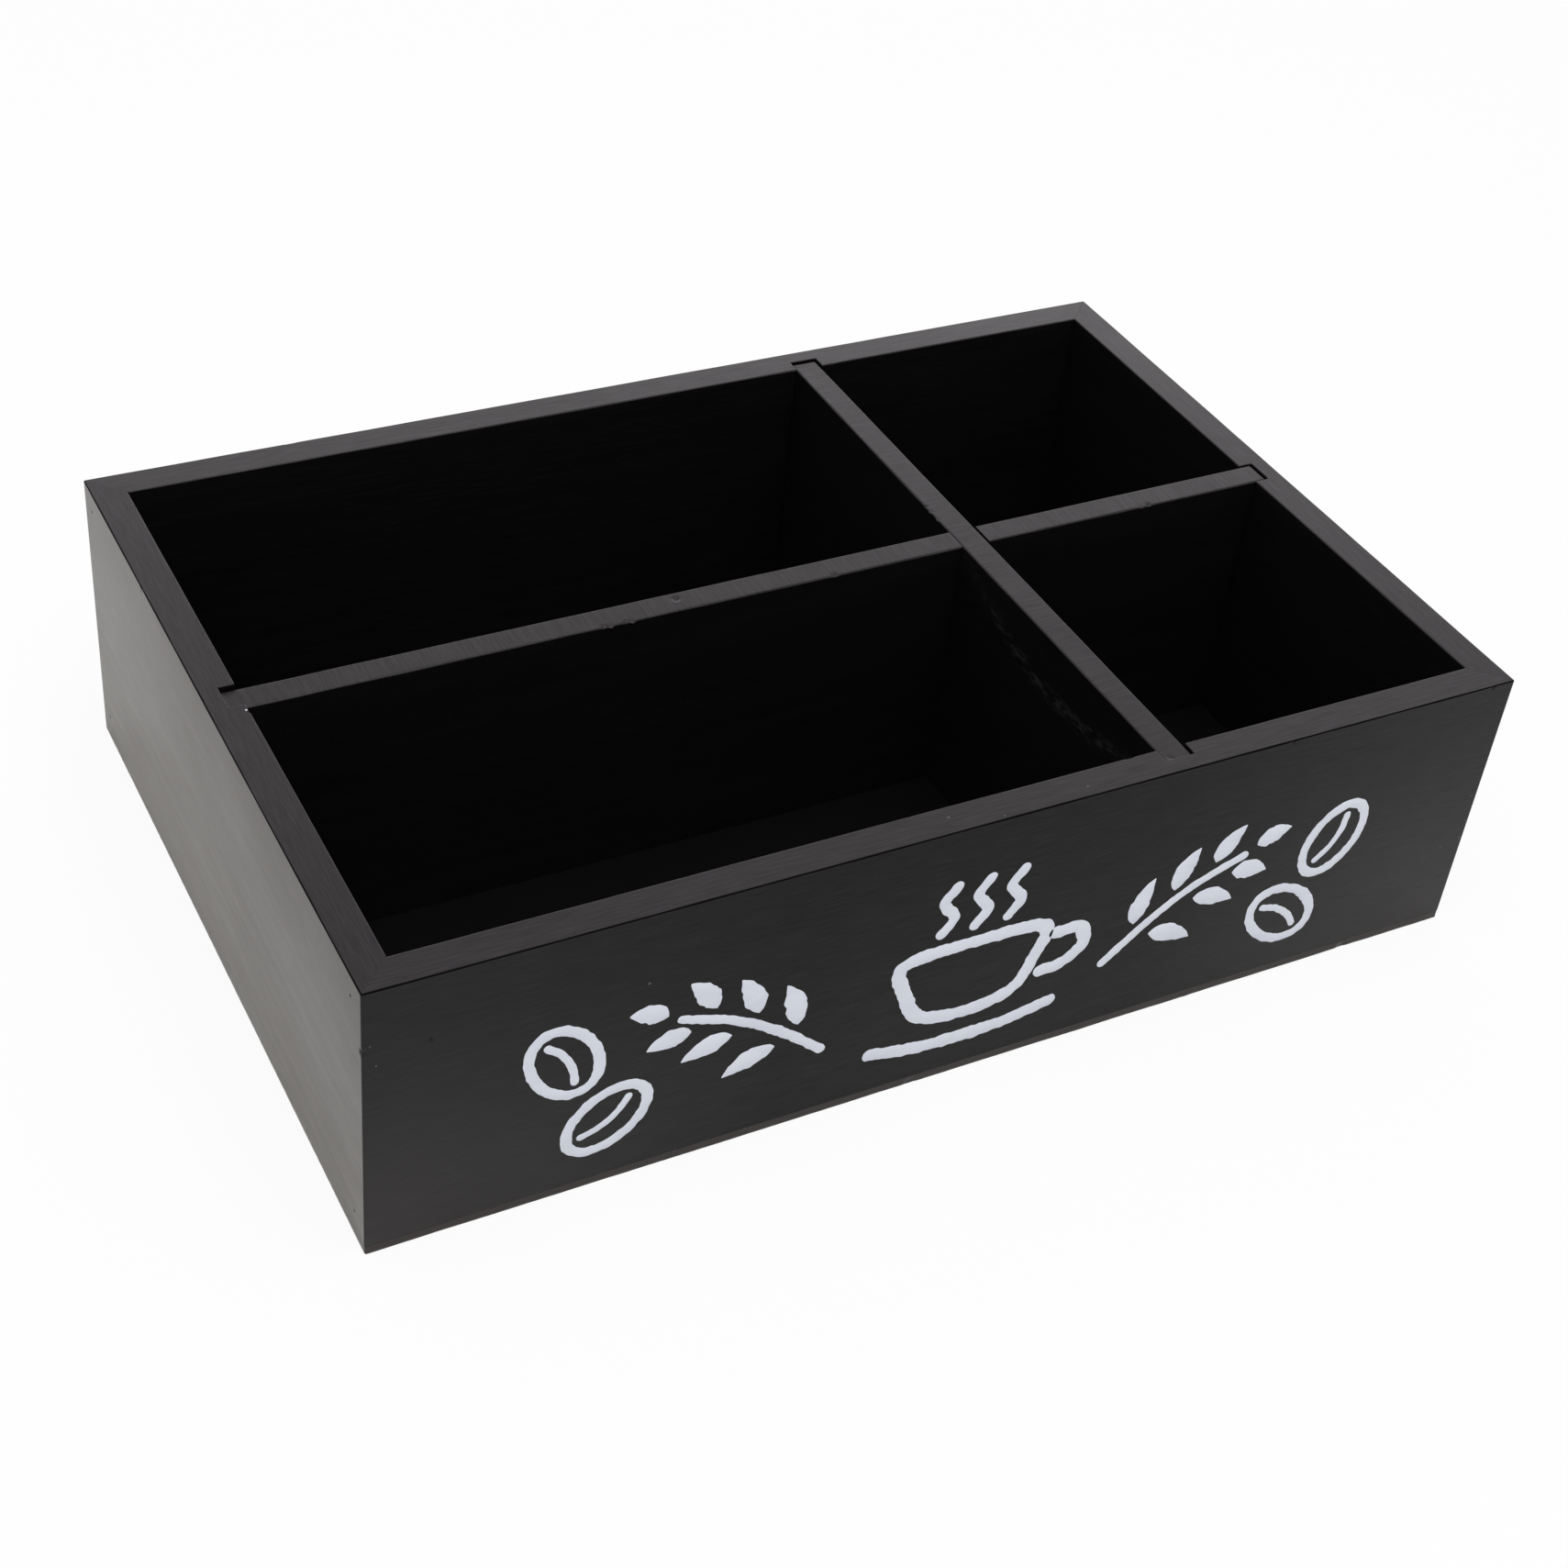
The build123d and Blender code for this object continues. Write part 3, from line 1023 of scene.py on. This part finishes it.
def brushed(skin, places, width=stroke_width, closed=False):
    """One stroke of a round brush, with rounded ends and a wavering edge."""
    line = curve_through(places, closed)
    widths = []
    for place in line:
        slow = noise.noise(Vector((place.x, place.y, 0)) / slow_waver)
        quick = noise.noise(Vector((place.x, place.y, 1)) / quick_waver)
        widths.append(width / 2 * (1 + slow_share * slow + quick_share * quick))
    if closed:
        skin.stroke(line, widths, closed=True)
        return
    ahead = (line[1] - line[0]).normalized()
    behind = (line[-2] - line[-1]).normalized()
    cap_steps = 7
    angles = [math.pi / 2 * step / cap_steps for step in range(1, cap_steps)]
    first = [line[0] - ahead * (widths[0] * math.cos(angle)) for angle in angles]
    final = [line[-1] - behind * (widths[-1] * math.cos(angle)) for angle in angles]
    opening = [widths[0] * math.sin(angle) for angle in angles]
    closing = [widths[-1] * math.sin(angle) for angle in angles]
    skin.stroke(first + line + final[::-1], opening + widths + closing[::-1])


def leaf(skin, root, heading, length, width, curl):
    """One pointed leaf, drawn in a single press of the brush."""
    steps = 16
    least_half = 0.12
    fullness = 0.8
    raggedness = 0.08
    line = []
    widths = []
    for step in range(steps + 1):
        share = step / steps
        angle = math.radians(heading + curl * share)
        away = Vector((math.cos(angle), math.sin(angle)))
        line.append((Vector(root) + away * length * share) * mm)
        full = math.sin(math.pi * share**fullness) ** fullness
        ragged = 1 + raggedness * noise.noise(Vector((step, heading, length)) * 0.7)
        widths.append(max(width / 2 * full * ragged, least_half) * mm)
    skin.stroke(line, widths)


def leant(middle, across, up, lean):
    """A place beside a middle, turned about it by an angle in degrees."""
    turned = Vector((across, up))
    turned.rotate(Matrix.Rotation(math.radians(lean), 2))
    return Vector(middle) + turned


def bean(skin, middle, lean):
    """One coffee bean: a brushed oval with a bowed crease along it."""
    long_half = 11
    short_half = 7.6
    oval_places = 12
    oval = [(short_half * across, long_half * up) for across, up in around(oval_places)]
    oval = [leant(middle, across, up, lean) for across, up in oval]
    brushed(skin, oval, bean_stroke, closed=True)
    bow = ((-0.9, -7.2), (0.5, -3.5), (0.9, 0), (0.5, 3.5), (-0.9, 7.2))
    brushed(skin, [leant(middle, across, up, lean) for across, up in bow], crease_stroke)


leaf_width = 5.6
leaf_curl = 14
motif = Skin()
cup_left = [(-19, 41), (-17.5, 31), (-12.5, 22.5), (0, 20)]
cup_right = [(12.5, 22.5), (17.5, 31), (19, 41), (0, 42.5)]
brushed(motif, cup_left + cup_right, closed=True)
brushed(motif, [(23, 37.5), (30, 37), (31.5, 31), (26, 26.5), (20.5, 26)])
brushed(motif, [(-25, 14.5), (-12, 12.2), (0, 11.8), (12, 12.2), (25, 14.5)])
for across in (-9, 0, 9):
    steam = [(across - 1.2, 48), (across + 1.6, 52.5), (across - 1.6, 57.5), (across + 1.2, 62)]
    brushed(motif, steam, steam_stroke)
for side in (-1, 1):
    stem = [(side * 39, 22), (side * 50, 31.5), (side * 62, 39.5), (side * 76, 45)]
    brushed(motif, stem, stem_stroke)
    for along, up, heading, length in (
        (46, 32.5, 88, 14),
        (56.5, 40, 80, 13),
        (67.5, 45.5, 68, 12),
        (51.5, 27.5, -8, 14),
        (63, 35.3, -4, 13),
        (73.5, 40.3, 2, 11),
        (79.5, 47.3, 32, 10),
    ):
        turned = heading if side > 0 else 180 - heading
        leaf(motif, (side * along, up), turned, length, leaf_width, -side * leaf_curl)
    bean(motif, (side * 104, 42), side * -28)
    bean(motif, (side * 93, 20.5), side * 52)

motif_mesh = bpy.data.meshes.new("painted_motif")
motif_mesh.from_pydata(motif.vertices, [], motif.faces)
motif_mesh.polygons.foreach_set("use_smooth", [True] * len(motif_mesh.polygons))
sharp_from = math.radians(50)
motif_mesh.set_sharp_from_angle(angle=sharp_from)
painted_motif = put_in_scene("painted_motif", motif_mesh)


def white_paint(name):
    """Opaque cool white paint with soft brush marks, and thinner spots where black shows."""
    white_thin = (0.70, 0.735, 0.82)
    white_thick = (0.76, 0.79, 0.87)
    black_through = (0.3, 0.3, 0.32)
    material, tree, shader = new_finish(name)
    cover = streaks(tree, 0, pitch=6 * mm, stretch=2, detail=4)
    brush = streaks(tree, 2, pitch=0.5 * mm, stretch=8, detail=2)
    thin_patches = between(tree, cover, 0.62, 0.8, 0, 1)
    thin = multiplied(tree, thin_patches, between(tree, brush, 0.5, 0.7, 0, 0.3))
    white_coat = blended(tree, between(tree, cover, 0.3, 0.6, 0, 1), white_thin, white_thick)
    looks = {
        "Base Color": blended(tree, thin, white_coat, black_through),
        "Roughness": between(tree, brush, 0.3, 0.7, 0.45, 0.6),
        "Normal": raised(tree, brush, 0.02 * mm),
    }
    fill(tree, shader, looks)
    return material


white = white_paint("white_paint")
motif_mesh.materials.append(white)
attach(painted_motif, "tray")

# Flecks: specks of dust and thinned paint that dried on the front face and the rim, and a bead
# of the motif's white paint on the chipped edge of the rim by the left slot.
fleck_corners = 9
fleck_rise = 0.05 * mm
fleck_raggedness = 0.4


def fleck(vertices, faces, place, across, up, half):
    """One speck: a low ragged dome on the face that the two directions lie in."""
    place = Vector(place) * mm
    outward = across.cross(up)
    rings = ((1, -paint_sunk), (0.85, fleck_rise / 2), (0.4, fleck_rise))
    skin_over(faces, len(vertices), len(rings), fleck_corners)
    for share, height in rings:
        for cosine, sine in around(fleck_corners):
            round_it = across * cosine + up * sine
            ragged = 1 + fleck_raggedness * noise.noise(round_it + place / mm)
            vertices.append(place + round_it * (half * mm * share * ragged) + outward * height)


def dull_grey(name):
    """Dust in dried paint: a dull grey with darker and lighter spots."""
    dark_dust = (0.04, 0.04, 0.042)
    pale_dust = (0.10, 0.10, 0.105)
    material, tree, shader = new_finish(name)
    spots = streaks(tree, 0, pitch=0.3 * mm, stretch=1, detail=3)
    looks = {
        "Base Color": blended(tree, between(tree, spots, 0.35, 0.65, 0, 1), dark_dust, pale_dust),
        "Roughness": between(tree, spots, 0.3, 0.7, 0.6, 0.8),
        "Normal": raised(tree, spots, 0.01 * mm),
    }
    fill(tree, shader, looks)
    return material


to_right = Vector((1, 0, 0))
to_back = Vector((0, 1, 0))
upwards = Vector((0, 0, 1))
face_flecks = (
    (-148.2, 63.8, 0.27),
    (-146.9, 57.7, 0.27),
    (-84.9, 59.1, 0.4),
    (148.2, 42.4, 0.35),
    (148.9, 34.1, 0.3),
    (148.7, 28.4, 0.35),
    (143.0, 27.1, 0.35),
)
rim_flecks = ((25.9, -96.7, 0.3), (2.3, -98.8, 0.3), (-10, -94.7, 0.35))
grey_vertices = []
grey_faces = []
for along, up, half in face_flecks:
    fleck(grey_vertices, grey_faces, (along, -half_width / mm, up), to_right, upwards, half)
for along, back, half in rim_flecks:
    fleck(grey_vertices, grey_faces, (along, back, front_high.z / mm), to_right, to_back, half)
bead_vertices = []
bead_faces = []
bead_place = (-141.9, -3.6, front_high.z / mm)
fleck(bead_vertices, bead_faces, bead_place, to_right, to_back, 0.3)
for name, vertices, faces, finish, slot in (
    ("dried_flecks", grey_vertices, grey_faces, dull_grey("dull_grey"), "painted_board"),
    ("white_bead", bead_vertices, bead_faces, white, "white_motif"),
):
    flecks_mesh = bpy.data.meshes.new(name)
    flecks_mesh.from_pydata(vertices, [], faces)
    flecks_mesh.materials.append(finish)
    flecks = put_in_scene(name, flecks_mesh)
    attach(flecks, "tray")

# Floor: a plain white table top that runs far out. It is lit as any surface is, so it keeps
# the tray's shadow, and most of its white comes straight to the eye.
floor_radius = 4
floor_sides = 96
floor_drop = 0.05 * mm
near_the_floor = 1 * mm
straight_white = 0.9
white_top = (0.9, 0.9, 0.9, 1)
floor_mesh = bpy.data.meshes.new("floor")
floor_rim = [(floor_radius * x, floor_radius * y, -floor_drop) for x, y in around(floor_sides)]
floor_mesh.from_pydata(floor_rim, [], [tuple(range(floor_sides))])
floor = put_in_scene("floor", floor_mesh)


def seen_directly(tree, share, also=()):
    """A share for the rays that come straight from the eye, and for other kinds of ray."""
    path = tree.nodes.new("ShaderNodeLightPath")
    seen = path.outputs["Is Camera Ray"]
    for ray in also:
        seen = reckoned(tree, "MAXIMUM", seen, path.outputs[ray])
    return between(tree, seen, 0, 1, 0, share)


def parted(tree, share, one, two):
    """One shader's output, and the other's where the share is high."""
    mix = tree.nodes.new("ShaderNodeMixShader")
    return fill(tree, mix, {0: share, 1: one.outputs[0], 2: two.outputs[0]})


table_top = bpy.data.materials.new("white_table_top")
table_top.use_nodes = True
table_tree = table_top.node_tree
table_nodes = table_tree.nodes
table_nodes.remove(table_nodes["Principled BSDF"])
lit_white = fill(table_tree, table_nodes.new("ShaderNodeBsdfDiffuse"), {"Color": white_top})
plain_white = fill(table_tree, table_nodes.new("ShaderNodeEmission"), {"Strength": 1})
both_whites = parted(table_tree, seen_directly(table_tree, straight_white), lit_white, plain_white)

# Seen from below it is clear, and it lets light in to the underside that stands on it
from_below = table_nodes.new("ShaderNodeNewGeometry").outputs["Backfacing"]
ray_length = table_nodes.new("ShaderNodeLightPath").outputs["Ray Length"]
close_by = reckoned(table_tree, "LESS_THAN", ray_length, near_the_floor)
open_floor = reckoned(table_tree, "MAXIMUM", from_below, close_by)
clear = table_nodes.new("ShaderNodeBsdfTransparent")
one_sided = parted(table_tree, open_floor, both_whites, clear)
fill(table_tree, table_nodes["Material Output"], {"Surface": one_sided.outputs[0]})
floor_mesh.materials.append(table_top)

# Light: an even white room, a large soft box above the tray, and a weaker one behind it that
# lays a sheen on the back of the rim.
room_white = (1, 1, 1, 1)
room_strength = 0.45
room = bpy.data.worlds.new("white_room")
room.use_nodes = True
room_tree = room.node_tree
room_light = room_tree.nodes["Background"]
fill(room_tree, room_light, {"Color": room_white, "Strength": room_strength})
room_seen = room_tree.nodes.new("ShaderNodeBackground")
fill(room_tree, room_seen, {"Color": room_white, "Strength": 1})
by_the_eye = seen_directly(room_tree, 1, ("Is Glossy Ray", "Is Transmission Ray"))
room_mix = parted(room_tree, by_the_eye, room_light, room_seen)
fill(room_tree, room_tree.nodes["World Output"], {"Surface": room_mix.outputs[0]})
bpy.context.scene.world = room


def soft_lamp(name, place, width, depth, watts):
    """A soft box at a place, turned to the middle of the tray."""
    lamp_data = bpy.data.lights.new(name, "AREA")
    lamp_data.shape = "RECTANGLE"
    lamp_data.size = width
    lamp_data.size_y = depth
    lamp_data.energy = watts
    lamp = put_in_scene(name, lamp_data)
    lamp.location = place
    lamp.rotation_mode = "QUATERNION"
    lamp.rotation_quaternion = Vector(place).to_track_quat("Z", "Y")


soft_lamp("back_soft_box", (0.83, 1.55, 0.71), width=1.8, depth=0.7, watts=5)
soft_lamp("top_soft_box", (-0.2, -0.5, 1.9), width=1.4, depth=1.4, watts=26)

bpy.context.scene.view_settings.view_transform = "Standard"
